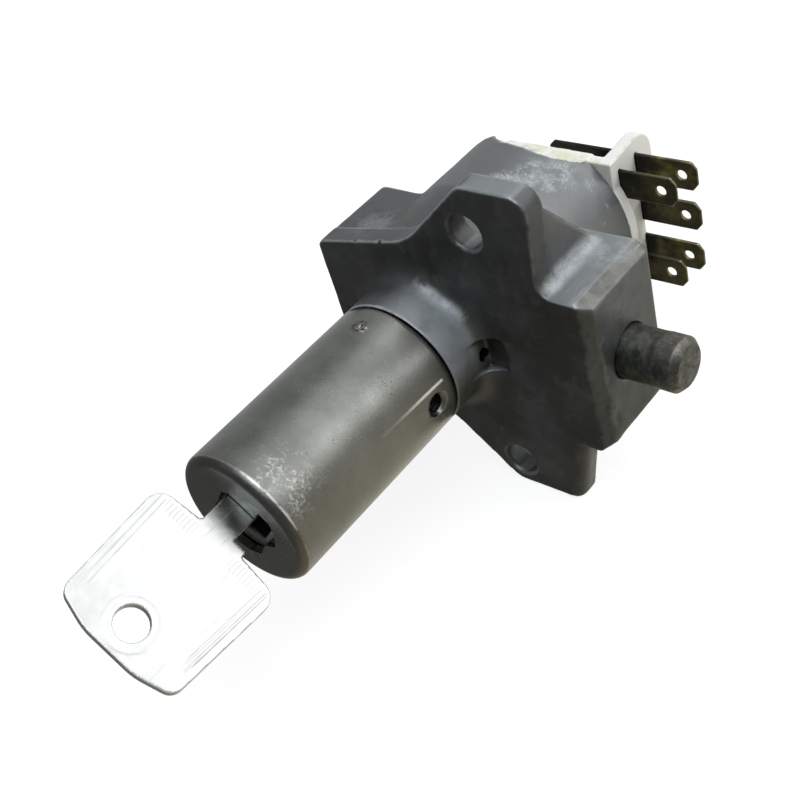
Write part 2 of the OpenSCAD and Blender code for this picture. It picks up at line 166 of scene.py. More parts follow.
def pairs(me):
    e = np.empty(len(me.edges) * 2, np.int32)
    me.edges.foreach_get("vertices", e)
    return e.reshape(-1, 2)


def mean_near(val, e, deg):
    n = len(deg)
    if val.ndim == 1:
        return (np.bincount(e[:, 0], val[e[:, 1]], n) + np.bincount(e[:, 1], val[e[:, 0]], n)) / deg
    return np.stack([mean_near(val[:, k], e, deg) for k in range(val.shape[1])], 1)


def smooth(me, rounds, weight=None, factor=0.5):
    co, e = points(me), pairs(me)
    deg = np.maximum(np.bincount(e.ravel(), minlength=len(co)), 1)
    for _ in range(rounds):
        d = mean_near(co, e, deg) - co
        w = factor if weight is None else factor * weight(co)[:, None]
        co = co + w * d
    set_points(me, co)


def curvature(me, rounds=4):
    """Above 0 on edges that stand out, below 0 in valleys, about -1 to 1."""
    co, e, no = points(me), pairs(me), normals(me)
    deg = np.maximum(np.bincount(e.ravel(), minlength=len(co)), 1)
    s = co.copy()
    for _ in range(rounds):
        s = mean_near(s, e, deg)
    c = ((co - s) * no).sum(1)
    return c


def give(me, name, values):
    a = me.attributes.get(name) or me.attributes.new(name, "FLOAT", "POINT")
    a.data.foreach_set("value", np.ascontiguousarray(values, np.float32))


def carry(me, name, src, values):
    """Gives me an attribute read from the nearest of the points src."""
    kd = KDTree(len(src))
    for i, p in enumerate(src):
        kd.insert(p, i)
    kd.balance()
    co = points(me)
    give(me, name, np.array([values[kd.find(p)[1]] for p in co]))


def piece(name, me, body, nodes, material, smooth_shade=True):
    """A finished mesh in millimetres becomes a piece in the part's frame."""
    me.transform(Matrix.Scale(MM, 4))
    me.name = name
    me.materials.clear()
    me.materials.append(material)
    me.polygons.foreach_set("material_index", np.zeros(len(me.polygons), np.int32))
    if smooth_shade:
        me.shade_smooth()
    ob = bpy.data.objects.new(name, me)
    scene.collection.objects.link(ob)
    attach(ob, body)
    if nodes:
        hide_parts(*nodes)
    return ob


def lathe(profile, segs, axis):
    """Closed body of revolution from [radius, along] points; axis 'y' or 'x'."""
    bm = bmesh.new()
    rings = []
    for r, t in profile:
        if r < 1e-6:
            rings.append([bm.verts.new((0, t, 0) if axis == "y" else (t, 0, 0))])
            continue
        ring = []
        for i in range(segs):
            a = 2 * math.pi * i / segs
            c, s = r * math.cos(a), r * math.sin(a)
            ring.append(bm.verts.new((c, t, s) if axis == "y" else (t, c, s)))
        rings.append(ring)
    n = len(rings)
    for k in range(n - 1 if len(rings[0]) == 1 and len(rings[-1]) == 1 else n):
        a, b = rings[k], rings[(k + 1) % n]
        if len(a) == 1 and len(b) == 1:
            continue
        for i in range(segs):
            j = (i + 1) % segs
            if len(a) == 1:
                bm.faces.new((a[0], b[j], b[i]))
            elif len(b) == 1:
                bm.faces.new((a[i], a[j], b[0]))
            else:
                bm.faces.new((a[i], a[j], b[j], b[i]))
    bmesh.ops.recalc_face_normals(bm, faces=bm.faces)
    me = bpy.data.meshes.new("lathe")
    bm.to_mesh(me)
    bm.free()
    return me


def prism(outline, lo, hi):
    """[x, z] outline drawn along Y."""
    bm = bmesh.new()
    a = [bm.verts.new((x, lo, z)) for x, z in outline]
    b = [bm.verts.new((x, hi, z)) for x, z in outline]
    n = len(a)
    bm.faces.new(a)
    bm.faces.new(list(reversed(b)))
    for i in range(n):
        bm.faces.new((a[i], b[i], b[(i + 1) % n], a[(i + 1) % n]))
    bmesh.ops.recalc_face_normals(bm, faces=bm.faces)
    me = bpy.data.meshes.new("prism")
    bm.to_mesh(me)
    bm.free()
    return me


def cut(me, *cutters):
    ob = temp(me)
    others = [temp(c) for c in cutters]
    for c in others:
        mod = ob.modifiers.new("cut", "BOOLEAN")
        mod.operation = "DIFFERENCE"
        mod.solver = "EXACT"
        mod.object = c
    out = applied(ob)
    for c in others:
        old = c.data
        bpy.data.objects.remove(c)
        bpy.data.meshes.remove(old)
    return out


def bevelled(me, width, segments=2, angle=35):
    ob = temp(me)
    mod = ob.modifiers.new("edge", "BEVEL")
    mod.width = width
    mod.segments = segments
    mod.limit_method = "ANGLE"
    mod.angle_limit = math.radians(angle)
    mod.harden_normals = False
    return applied(ob)


# ------------------------------------------------------------------ materials
class Graph:
    def __init__(self, name, **surface):
        self.m = bpy.data.materials.new(name)
        self.m.use_nodes = True
        self.t = self.m.node_tree
        self.b = next(n for n in self.t.nodes if n.type == "BSDF_PRINCIPLED")
        for k, v in surface.items():
            self.b.inputs[k.replace("_", " ")].default_value = v
        self.xyz = self.node("ShaderNodeTexCoord").outputs["Object"]

    def node(self, kind, **props):
        n = self.t.nodes.new(kind)
        for k, v in props.items():
            setattr(n, k, v)
        return n

    def put(self, socket, v):
        if isinstance(v, bpy.types.NodeSocket):
            self.t.links.new(v, socket)
        else:
            socket.default_value = v

    def set(self, name, v):
        self.put(self.b.inputs[name], v)

    def noise(self, scale, detail=3.0, rough=0.55, at=None, distortion=0.0):
        n = self.node("ShaderNodeTexNoise")
        self.put(n.inputs["Vector"], self.xyz if at is None else at)
        n.inputs["Scale"].default_value = scale
        n.inputs["Detail"].default_value = detail
        n.inputs["Roughness"].default_value = rough
        n.inputs["Distortion"].default_value = distortion
        return n.outputs["Fac"]

    def cells(self, scale, feature="F1", at=None):
        n = self.node("ShaderNodeTexVoronoi", feature=feature)
        self.put(n.inputs["Vector"], self.xyz if at is None else at)
        n.inputs["Scale"].default_value = scale
        return n.outputs["Distance"]

    def stretch(self, sx, sy, sz, turn=(0, 0, 0)):
        n = self.node("ShaderNodeMapping")
        self.put(n.inputs["Vector"], self.xyz)
        n.inputs["Scale"].default_value = (sx, sy, sz)
        n.inputs["Rotation"].default_value = turn
        return n.outputs["Vector"]

    def span(self, v, a, b, lo=0.0, hi=1.0, soft=True):
        n = self.node("ShaderNodeMapRange")
        n.interpolation_type = "SMOOTHSTEP" if soft else "LINEAR"
        self.put(n.inputs["Value"], v)
        for k, x in (("From Min", a), ("From Max", b), ("To Min", lo), ("To Max", hi)):
            n.inputs[k].default_value = x
        return n.outputs["Result"]

    def math(self, op, a, b=0.0, clamp=False):
        n = self.node("ShaderNodeMath", operation=op, use_clamp=clamp)
        self.put(n.inputs[0], a)
        self.put(n.inputs[1], b)
        return n.outputs[0]

    def mul(self, *v):
        out = v[0]
        for x in v[1:]:
            out = self.math("MULTIPLY", out, x)
        return out

    def add(self, *v):
        out = v[0]
        for x in v[1:]:
            out = self.math("ADD", out, x)
        return out

    def mix(self, fac, a, b, blend="MIX"):
        n = self.node("ShaderNodeMix", data_type="RGBA", blend_type=blend)
        n.clamp_factor = True
        self.put(n.inputs[0], fac)
        self.put(n.inputs[6], a if isinstance(a, bpy.types.NodeSocket) else (*a, 1.0))
        self.put(n.inputs[7], b if isinstance(b, bpy.types.NodeSocket) else (*b, 1.0))
        return n.outputs[2]

    def axis(self, k, at=None):
        n = self.node("ShaderNodeSeparateXYZ")
        self.put(n.inputs[0], self.xyz if at is None else at)
        return n.outputs[k]

    def near(self, p, r0, r1):
        """1 within r0 of the point, 0 beyond r1, in metres."""
        n = self.node("ShaderNodeVectorMath", operation="DISTANCE")
        self.put(n.inputs[0], self.xyz)
        n.inputs[1].default_value = p
        return self.span(n.outputs["Value"], r0, r1, 1.0, 0.0)

    def along(self, p, q, r0, r1):
        """1 within r0 of the line from p to q, 0 beyond r1, in metres."""
        p, d = Vector(p), Vector(q) - Vector(p)
        a = self.node("ShaderNodeVectorMath", operation="SUBTRACT")
        self.put(a.inputs[0], self.xyz)
        a.inputs[1].default_value = p
        t = self.node("ShaderNodeVectorMath", operation="DOT_PRODUCT")
        self.put(t.inputs[0], a.outputs[0])
        t.inputs[1].default_value = d / d.length_squared
        b = self.node("ShaderNodeVectorMath", operation="SCALE")
        b.inputs[0].default_value = d
        self.put(b.inputs["Scale"], self.math("ADD", t.outputs["Value"], 0.0, True))
        n = self.node("ShaderNodeVectorMath", operation="DISTANCE")
        self.put(n.inputs[0], a.outputs[0])
        self.put(n.inputs[1], b.outputs[0])
        return self.span(n.outputs["Value"], r0, r1, 1.0, 0.0)

    def most(self, *v):
        out = v[0]
        for x in v[1:]:
            out = self.math("MAXIMUM", out, x)
        return out

    def own(self, name):
        return self.node("ShaderNodeAttribute", attribute_name=name).outputs["Fac"]

    def facing(self, v):
        """How much the surface faces the direction v, in the piece's own frame."""
        g = self.node("ShaderNodeTexCoord").outputs["Normal"]
        n = self.node("ShaderNodeVectorMath", operation="DOT_PRODUCT")
        self.put(n.inputs[0], g)
        n.inputs[1].default_value = Vector(v).normalized()
        return n.outputs["Value"]

    def bump(self, height, strength, distance=0.0001):
        n = self.node("ShaderNodeBump")
        n.inputs["Strength"].default_value = strength
        n.inputs["Distance"].default_value = distance
        self.put(n.inputs["Height"], height)
        last = self.b.inputs["Normal"]
        if last.is_linked:
            self.t.links.new(last.links[0].from_socket, n.inputs["Normal"])
        self.t.links.new(n.outputs["Normal"], last)


def zinc():
    g = Graph("zinc_casting", IOR=1.6)
    broad = g.noise(70, 3, 0.55)
    mid = g.noise(330, 4, 0.6)
    fine = g.noise(1900, 3, 0.6)
    x, y, z = g.axis(0), g.axis(1), g.axis(2)
    c = g.mix(g.span(broad, 0.36, 0.66), (0.096, 0.101, 0.100), (0.121, 0.128, 0.130))
    c = g.mix(g.mul(g.span(mid, 0.40, 0.68), 0.45), c, (0.144, 0.151, 0.154))
    c = g.mix(g.mul(g.span(fine, 0.52, 0.74), 0.35), c, (0.179, 0.186, 0.191))
    # painted shade: faces that look forward (-Y), away from the light, painted darker and mottled
    ahead = g.facing((0, -1, 0))
    front_shade = g.span(ahead, 0.55, 0.95)
    c = g.mix(g.mul(front_shade, g.span(g.noise(120, 4, 0.6), 0.40, 0.68), 0.55), c, (0.074, 0.071, 0.063))
    c = g.mix(g.mul(front_shade, g.span(g.noise(55, 4, 0.62), 0.42, 0.64), 0.7), c, (0.056, 0.059, 0.055))
    c = g.mix(g.mul(front_shade, g.span(g.noise(170, 5, 0.68), 0.52, 0.66), 0.6), c, (0.160, 0.160, 0.151))
    # upper faces, the ribs' sides and the boss painted paler, as if lit from above: painted light; they also get a
    # duller skin
    up = g.facing((0.1, 0.0, 1.0))
    flat = g.mul(g.span(up, 0.92, 0.985), g.span(y, 0.0215, 0.0200), g.span(x, 0.0, 0.024, 0.0, 1.0))
    boss = g.mul(g.span(g.facing((0.30, 0.0, 0.95)), 0.05, 0.75), g.span(y, 0.0195, 0.0215), g.span(g.facing((-0.25, 0.0, 0.97)), 0.86, 0.99, 1.0, 0.70))
    side = g.mul(g.span(g.facing((1, 0, 0)), 0.6, 0.9), g.span(x, 0.0302, 0.0292), g.span(z, 0.0165, 0.0178))
    lit_tops = g.mul(g.most(g.mul(flat, 0.85), g.mul(boss, 0.44), g.mul(side, 0.12)), g.span(mid, 0.15, 0.5, 0.75, 1.0))
    c = g.mix(lit_tops, c, (0.275, 0.288, 0.295))
    # bevel along the block's outer edge, with fine scratches
    strip = g.mul(g.span(g.facing((0.55, 0.0, 0.84)), 0.93, 0.985), g.span(x, 0.0350, 0.0360))
    c = g.mix(g.mul(strip, 0.85), c, g.mix(g.span(mid, 0.35, 0.65), (0.125, 0.124, 0.117), (0.215, 0.215, 0.205)))
    lines = g.span(g.noise(1300, 2, 0.5, at=g.stretch(1.0, 0.06, 1.0, (0.0, 0.0, 0.12))), 0.62, 0.68)
    c = g.mix(g.mul(g.span(up, 0.7, 0.9), g.span(x, 0.0310, 0.0345), g.span(y, 0.0205, 0.0195), lines, 0.28), c, (0.55, 0.56, 0.57))
    # granular whitish oxide behind the ear, on the boss and along the block's valley
    grain = g.span(g.noise(2600, 5, 0.75), 0.42, 0.60)
    cloud = g.span(g.noise(190, 5, 0.72), 0.43, 0.57)
    place = g.most(
        g.along((0.0040, 0.0228, 0.0205), (0.0078, 0.0312, 0.0194), 0.0010, 0.0040),
        g.mul(g.along((0.0105, 0.0250, 0.0182), (0.0115, 0.0345, 0.0175), 0.001, 0.0055), 0.8),
        g.mul(g.near((0.0330, 0.0150, 0.0170), 0.002, 0.006), 0.55),
        g.mul(g.along((0.0187, 0.0366, 0.0090), (0.0196, 0.0347, 0.0068), 0.0004, 0.0016), 0.9),
        g.mul(g.near((0.0158, 0.0373, 0.0137), 0.0006, 0.0022), 0.7),
        g.mul(g.near((-0.014, 0.008, 0.0170), 0.002, 0.008), 0.35),
    )
    smear = g.most(
        g.mul(g.along((0.0292, 0.0032, 0.0171), (0.0290, 0.0168, 0.0171), 0.0007, 0.0030), g.span(mid, 0.30, 0.56, 0.55, 1.0), 1.25),
        g.mul(g.along((0.0072, 0.0218, 0.0198), (0.0090, 0.0300, 0.0190), 0.0004, 0.0024), g.span(g.noise(420, 4, 0.65), 0.36, 0.6)))
    oxide = g.most(g.mul(place, cloud, g.add(0.30, g.mul(grain, 0.60))), g.mul(smear, g.add(0.55, g.mul(grain, 0.25))))
    c = g.mix(oxide, c, (0.56, 0.585, 0.61))
    # dull bluish neck, painted lighter where it turns up and to the right (painted light), with a painted highlight
    # band on its fillet
    neck_lit_side = g.span(g.facing((0.75, 0.0, 0.66)), 0.52, 0.97, 0.03, 0.72)
    neck = g.mul(g.span(y, -0.0005, -0.0032), g.span(ahead, 0.80, 0.40), neck_lit_side, g.span(mid, 0.2, 0.6, 0.72, 1.0))
    c = g.mix(neck, c, (0.40, 0.435, 0.46))
    fillet_highlight = g.most(g.along((0.0025, -0.0021, 0.0154), (0.0082, -0.0024, 0.0134), 0.0003, 0.0016),
                  g.along((0.0082, -0.0024, 0.0134), (0.0124, -0.0020, 0.0094), 0.0003, 0.0016))
    fillet_highlight = g.mul(fillet_highlight, g.span(g.noise(500, 4, 0.65), 0.36, 0.6), 0.75)
    c = g.mix(fillet_highlight, c, (0.66, 0.69, 0.72))
    crumbs = g.mul(g.span(g.cells(800), 0.12, 0.05), g.span(g.noise(150, 2), 0.58, 0.66))
    c = g.mix(g.mul(crumbs, 0.5), c, (0.36, 0.37, 0.38))
    # end face of the block, darker towards its lower edge
    end = g.mul(g.span(g.facing((1, 0, 0)), 0.8, 0.97), g.span(x, 0.0360, 0.0375))
    c = g.mix(g.mul(end, g.span(z, 0.008, -0.012), 0.75), c, (0.045, 0.047, 0.044))
    c = g.mix(g.mul(end, g.span(g.noise(260, 4, 0.65), 0.5, 0.66), 0.4), c, (0.06, 0.06, 0.056))
    # outer side of the upper ear, darker in patches
    ear_side_dark = g.mul(g.span(g.facing((1, 0, 0)), 0.35, 0.8), g.span(y, 0.0065, 0.0050), g.span(z, 0.0165, 0.0190), g.span(x, 0.0345, 0.0330))
    c = g.mix(g.mul(ear_side_dark, g.span(mid, 0.25, 0.65, 0.75, 0.45)), c, (0.055, 0.057, 0.054))
    # rubbed edges lighter (wear); where they look up and to the left a painted highlight is laid on them
    inner = g.mul(g.span(y, 0.0042, 0.0052), g.span(y, 0.0090, 0.0078), g.span(x, 0.0190, 0.0210), g.span(x, 0.0335, 0.0320), g.span(z, 0.0175, 0.0190))
    calm = g.most(g.near((0.0165, -0.0005, 0.0003), 0.0040, 0.0062), inner)
    rub = g.mul(g.own("edge"), g.span(calm, 0.0, 1.0, 1.0, 0.10))
    worn = g.mul(rub, g.span(mid, 0.28, 0.60))
    c = g.mix(g.mul(worn, 0.6), c, (0.25, 0.26, 0.265))
    edge_highlight = g.mul(rub, g.span(g.facing((-0.40, -0.35, 0.85)), 0.35, 0.8), g.span(mid, 0.2, 0.5))
    c = g.mix(g.mul(edge_highlight, 0.85), c, (0.46, 0.485, 0.50))
    stain = g.mul(g.span(g.noise(95, 4, 0.7), 0.55, 0.70), g.span(z, 0.0, -0.02), 0.5)
    c = g.mix(stain, c, (0.075, 0.066, 0.054))
    # painted shade: creases darkened
    c = g.mix(g.mul(g.own("valley"), 0.5), c, (0.045, 0.046, 0.043))
    # painted shade: the pin hole and the gap at the sleeve joint painted near black
    hole_and_gap_shade = g.along((0.0100, -0.00065, 0.0), (0.0133, -0.00065, 0.0), 0.00135, 0.00155)
    c = g.mix(g.most(hole_and_gap_shade, g.span(y, -0.00968, -0.00984)), c, (0.006, 0.006, 0.006))
    # painted shade: the slot beside the pin hole darkened where it faces forward
    c = g.mix(g.mul(g.near((0.0165, 0.0005, 0.0008), 0.0020, 0.0036), g.span(ahead, 0.5, 0.9), 0.6), c, (0.030, 0.031, 0.029))
    g.set("Base Color", c)
    dull = g.most(neck, g.mul(fillet_highlight, 0.8), g.mul(lit_tops, 0.5), g.mul(edge_highlight, 0.7), g.mul(oxide, 0.7))
    g.set("Metallic", g.span(dull, 0.0, 1.0, 0.75, 0.15, False))
    g.set("Roughness", g.add(g.span(mid, 0.3, 0.7, 0.42, 0.54), g.mul(oxide, 0.25), g.mul(worn, -0.06)))
    h = g.add(g.mul(fine, 0.35), g.mul(mid, 0.6), g.mul(g.noise(900, 3), 0.4), g.mul(oxide, 0.6))
    g.bump(h, 0.45, 0.00016)
    return g.m


def plated():
    g = Graph("plated_sleeve")
    pits = g.noise(3400, 2, 0.6)
    cloud = g.noise(150, 4, 0.6)
    patch = g.noise(60, 3)
    y = g.axis(1)
    c = g.mix(g.span(cloud, 0.35, 0.7), (0.159, 0.162, 0.151), (0.200, 0.203, 0.194))
    # painted reflection: warm tint where the sleeve faces down and to the right, as from a warm floor below
    warm_bounce = g.span(g.facing((0.75, 0, -0.65)), -0.1, 0.9)
    c = g.mix(g.mul(warm_bounce, 0.55), c, (0.172, 0.168, 0.138))
    # painted light: lighter near the joint where the sleeve faces up and to the right
    lit_near_joint = g.mul(g.span(y, -0.0205, -0.0120), g.span(g.facing((0.86, 0, 0.5)), 0.1, 0.75))
    c = g.mix(g.mul(lit_near_joint, 0.35), c, (0.345, 0.343, 0.325))
    # painted shade: the front face darkened
    c = g.mix(g.span(g.facing((0, -1, 0)), 0.6, 0.95, 0.0, 0.6), c, (0.140, 0.139, 0.124))
    # painted glints: whitish grain near the front where the sleeve faces up and to the right; the small light pits
    # elsewhere are the plating's own
    ahead = g.mul(g.span(y, -0.0400, -0.0495), g.span(g.facing((0.71, 0, 0.71)), 0.84, 0.97))
    dots = g.mul(g.span(g.cells(1500), 0.22, 0.08), g.span(g.noise(420, 3), 0.48, 0.62))
    c = g.mix(g.mul(dots, 0.5), c, (0.080, 0.078, 0.069))
    glint_grain = g.mul(g.span(g.noise(1700, 5, 0.75), 0.47, 0.60), g.span(g.noise(300, 4, 0.65), 0.42, 0.58))
    pits_and_glints = g.most(g.mul(g.span(pits, 0.58, 0.70), g.span(g.noise(220, 4, 0.65), 0.38, 0.62, 0.08, 0.30)), g.mul(ahead, glint_grain, 0.9), g.mul(ahead, g.span(pits, 0.56, 0.68), 0.22))
    c = g.mix(g.mul(pits_and_glints, 0.8), c, (0.56, 0.555, 0.53))
    # rough stake mark round the pin
    bruise = g.mul(g.near((-0.0002, -0.0153, 0.0140), 0.0011, 0.0020), g.span(g.noise(800, 4, 0.7), 0.40, 0.54))
    c = g.mix(g.mul(bruise, 0.8), c, (0.035, 0.035, 0.032))
    chip = g.mul(g.near((0.0011, -0.0157, 0.0139), 0.0004, 0.0010), g.span(g.noise(1300, 3), 0.38, 0.54))
    c = g.mix(g.mul(chip, 0.9), c, (0.90, 0.89, 0.85))
    # painted highlight along the front rim, and a painted highlight streak along the sleeve; both are made less
    # metallic
    rim = g.mul(g.own("edge"), g.span(g.noise(520, 4, 0.65), 0.30, 0.52))
    fade = g.span(y, -0.027, -0.013, 0.05, 1.0)
    streak_highlight = g.mul(g.along((0.01362, -0.0124, 0.0033), (0.01345, -0.0290, 0.0040), 0.00014, 0.00040), fade)
    c = g.mix(g.most(g.mul(rim, 0.95), streak_highlight), c, (0.93, 0.92, 0.86))
    g.set("Base Color", c)
    g.set("Metallic", g.span(g.most(rim, streak_highlight), 0.0, 1.0, 1.0, 0.30, False))
    g.set("Roughness", g.add(g.span(patch, 0.3, 0.7, 0.28, 0.36), g.mul(dots, 0.2), g.mul(pits_and_glints, 0.1), g.span(pits, 0.35, 0.7, -0.03, 0.06)))
    rub = g.noise(900, 3, 0.6, at=g.stretch(1.0, 0.03, 1.0))
    g.bump(g.add(g.mul(pits, 0.6), g.mul(dots, -0.8), g.mul(rub, 0.25), g.mul(g.noise(1200, 3), 0.4)), 0.35, 0.00008)
    g.bump(streak_highlight, 0.8, 0.00012)
    return g.m


def key_metal():
    g = Graph("key_metal")
    grain = g.noise(1400, 3, 0.6, at=g.stretch(1.0, 0.06, 1.0))
    cloud = g.noise(260, 4, 0.6)
    c = g.mix(g.span(cloud, 0.35, 0.7), (0.54, 0.543, 0.535), (0.59, 0.59, 0.583))
    shade = g.span(g.add(g.axis(1), g.span(g.noise(420, 3), 0.3, 0.7, -0.0006, 0.0006, False)), -0.0570, -0.0556)
    c = g.mix(g.mul(shade, 0.7), c, (0.235, 0.250, 0.230))
    # painted shade: the relief's creases darkened
    c = g.mix(g.mul(g.own("valley"), 0.7), c, (0.17, 0.17, 0.163))
    scr = g.span(g.noise(420, 2, 0.5, at=g.stretch(3.0, 0.12, 3.0, (0.2, 0.4, 0.3))), 0.63, 0.70)
    c = g.mix(g.mul(scr, 0.12), c, (0.36, 0.36, 0.35))
    c = g.mix(g.mul(g.own("edge"), 0.6), c, (0.80, 0.80, 0.79))
    g.set("Base Color", c)
    g.set("Metallic", g.span(g.own("edge"), 0.0, 1.0, 0.9, 0.3))
    g.set("Roughness", g.add(g.span(cloud, 0.3, 0.7, 0.20, 0.28), g.mul(scr, 0.1)))
    g.bump(g.add(g.mul(grain, 0.5), g.mul(scr, -0.6), g.mul(g.noise(5000, 2), 0.25)), 0.22, 0.00005)
    return g.m


def bolt_steel():
    g = Graph("bolt_steel", Metallic=1.0)
    ring = g.noise(2600, 3, 0.6, at=g.stretch(1.0, 0.05, 0.05))
    blotch = g.noise(300, 5, 0.65)
    fine = g.noise(1500, 4, 0.65)
    rubs = g.noise(520, 3, 0.6, at=g.stretch(0.12, 1.0, 1.0))
    c = g.mix(g.span(blotch, 0.36, 0.66), (0.080, 0.080, 0.071), (0.150, 0.147, 0.132))
    c = g.mix(g.mul(g.span(fine, 0.5, 0.7), 0.45), c, (0.170, 0.173, 0.160))
    reach = g.add(g.axis(0), g.span(g.noise(420, 4), 0.25, 0.75, -0.0009, 0.0009, False))
    inner = g.mix(g.span(g.noise(460, 5, 0.68), 0.38, 0.64), (0.085, 0.091, 0.079), (0.185, 0.194, 0.172))
    c = g.mix(g.mul(g.span(reach, 0.0456, 0.0440), 0.9), c, inner)
    c = g.mix(g.mul(g.span(rubs, 0.58, 0.72), 0.45), c, (0.034, 0.036, 0.031))
    top = g.mul(g.span(g.facing((0, 0.2, 1)), 0.4, 0.95), g.span(g.noise(230, 3), 0.42, 0.66))
    c = g.mix(g.mul(top, 0.45), c, (0.125, 0.102, 0.073))
    # painted highlight along the end's chamfer, on its lower side
    c = g.mix(g.mul(g.own("edge"), g.span(blotch, 0.40, 0.58), 0.8), c, (0.30, 0.303, 0.285))
    scuff = g.mul(g.span(reach, 0.0440, 0.0452), g.span(g.noise(620, 5, 0.7), 0.50, 0.62))
    c = g.mix(g.mul(scuff, 0.5), c, (0.27, 0.27, 0.25))
    c = g.mix(g.mul(g.span(g.noise(380, 5, 0.7, at=g.stretch(1.0, 0.6, 0.6)), 0.55, 0.66), 0.6), c, (0.040, 0.042, 0.036))
    c = g.mix(g.mul(g.span(g.facing((1, 0, 0)), 0.8, 0.98), 0.35), c, (0.060, 0.062, 0.054))
    gouge = g.along((0.0502, 0.0085, 0.0018), (0.0502, 0.0118, -0.0012), 0.00012, 0.0005)
    c = g.mix(g.mul(gouge, 0.7), c, (0.05, 0.05, 0.045))
    g.set("Base Color", c)
    g.set("Roughness", g.span(blotch, 0.3, 0.7, 0.54, 0.42))
    g.bump(g.add(g.mul(ring, 0.4), g.mul(rubs, 0.5), g.mul(blotch, 0.6), g.mul(fine, 0.4), g.mul(gouge, -1.0)), 0.4, 0.00010)
    return g.m


def ivory():
    g = Graph("ivory_moulding", IOR=1.5)
    cloud = g.noise(120, 4, 0.6)
    fine = g.noise(2200, 3, 0.6)
    c = g.mix(g.span(cloud, 0.35, 0.7), (0.86, 0.855, 0.79), (0.91, 0.905, 0.865))
    # painted shade: yellowish darkening along the wall's root, in the corner with the plate
    root = g.most(g.along((-0.0002, 0.0420, 0.0163), (0.0086, 0.0407, 0.0163), 0.0006, 0.0022), g.along((0.0086, 0.0407, 0.0163), (0.0145, 0.0412, 0.0160), 0.0005, 0.0018))
    root_shade = g.mul(root, g.span(g.noise(420, 4), 0.34, 0.58))
    c = g.mix(g.mul(root_shade, 0.8), c, (0.74, 0.71, 0.47))
    crust = g.mul(g.along((-0.0079, 0.0420, 0.0163), (-0.0008, 0.0410, 0.0163), 0.001, 0.003), g.span(g.noise(700, 5, 0.7), 0.45, 0.6))
    c = g.mix(g.mul(crust, 0.7), c, (0.55, 0.55, 0.50))
    # painted shade: creases darkened
    c = g.mix(g.mul(g.own("valley"), 0.6), c, (0.42, 0.41, 0.34))
    seam = g.along((0.0180, 0.0425, 0.0161), (0.0180, 0.0520, 0.0168), 0.00010, 0.00026)
    c = g.mix(g.mul(seam, 0.6), c, (0.24, 0.235, 0.20))
    smear = g.mul(g.span(g.noise(300, 5, 0.7), 0.6, 0.75), 0.3)
    c = g.mix(smear, c, (0.60, 0.59, 0.51))
    g.set("Base Color", c)
    g.set("Roughness", g.span(fine, 0.3, 0.7, 0.40, 0.56))
    g.b.inputs["Subsurface Weight"].default_value = 0.12
    g.b.inputs["Subsurface Scale"].default_value = 0.001
    g.b.inputs["Subsurface Radius"].default_value = (1.0, 0.8, 0.5)
    g.bump(g.add(g.mul(fine, 0.4), g.mul(g.noise(500, 3), 0.6), g.mul(crust, 1.5)), 0.25, 0.0001)
    return g.m


def blade_brass(name, gold):
    g = Graph(name, Metallic=0.85)
    x = g.axis(0)
    blotch = g.noise(260, 5, 0.65)
    lines = g.noise(1500, 3, 0.6, at=g.stretch(0.05, 1.0, 1.0))
    reach = g.add(x, g.span(blotch, 0.25, 0.75, -0.0030, 0.0030, False))
    c = g.mix(g.span(reach, 0.0190, 0.0255), (0.020, 0.0200, 0.016), (0.150, 0.134, 0.074))
    c = g.mix(g.mul(g.span(blotch, 0.46, 0.68), g.span(x, 0.0195, 0.0245), gold), c, (0.36, 0.300, 0.105))
    c = g.mix(g.mul(g.span(x, 0.0275, 0.0308), g.span(g.noise(700, 3), 0.4, 0.7), 0.5), c, (0.085, 0.075, 0.045))
    tip = g.span(x, 0.0270, 0.0300)
    c = g.mix(g.mul(g.own("edge"), g.span(g.noise(900, 3), 0.3, 0.62), g.add(0.12, g.mul(tip, 0.85))), c, (0.62, 0.58, 0.46))
    g.set("Base Color", c)
    g.set("Roughness", g.span(blotch, 0.3, 0.7, 0.34, 0.5))
    g.bump(g.add(lines, g.mul(g.noise(2600, 2), 0.5)), 0.3, 0.00006)
    return g.m


def plain_metal(name, a, b, rough, metallic=1.0, scale=500, lines=(1.0, 1.0, 1.0), dirt=0.4):
    g = Graph(name, Metallic=metallic)
    n1 = g.noise(scale, 4, 0.6)
    n2 = g.noise(scale * 4, 3, 0.6, at=g.stretch(*lines))
    c = g.mix(g.span(n1, 0.35, 0.68), a, b)
    c = g.mix(g.mul(g.span(g.noise(scale * 0.6, 5, 0.7), 0.58, 0.75), dirt), c, tuple(0.3 * x for x in a))
    g.set("Base Color", c)
    g.set("Roughness", g.span(n1, 0.3, 0.7, rough + 0.06, rough - 0.06))
    g.bump(g.add(n2, g.mul(n1, 0.6)), 0.3, 0.00007)
    return g.m


def plug_metal():
    g = Graph("plug_nickel", Metallic=1.0)
    n1 = g.noise(500, 4, 0.6)
    n2 = g.noise(2000, 3, 0.6, at=g.stretch(1.0, 0.1, 1.0))
    c = g.mix(g.span(n1, 0.35, 0.68), (0.36, 0.390, 0.365), (0.56, 0.585, 0.545))
    c = g.mix(g.mul(g.span(g.noise(300, 5, 0.7), 0.58, 0.75), 0.4), c, (0.11, 0.116, 0.108))
    # painted shade: everything behind the front face, deep in the sleeve, near black
    c = g.mix(g.span(g.axis(1), -0.0518, -0.0512), c, (0.030, 0.032, 0.030))
    g.set("Base Color", c)
    g.set("Roughness", g.span(n1, 0.3, 0.7, 0.48, 0.36))
    g.bump(g.add(n2, g.mul(n1, 0.6)), 0.3, 0.00007)
    return g.m


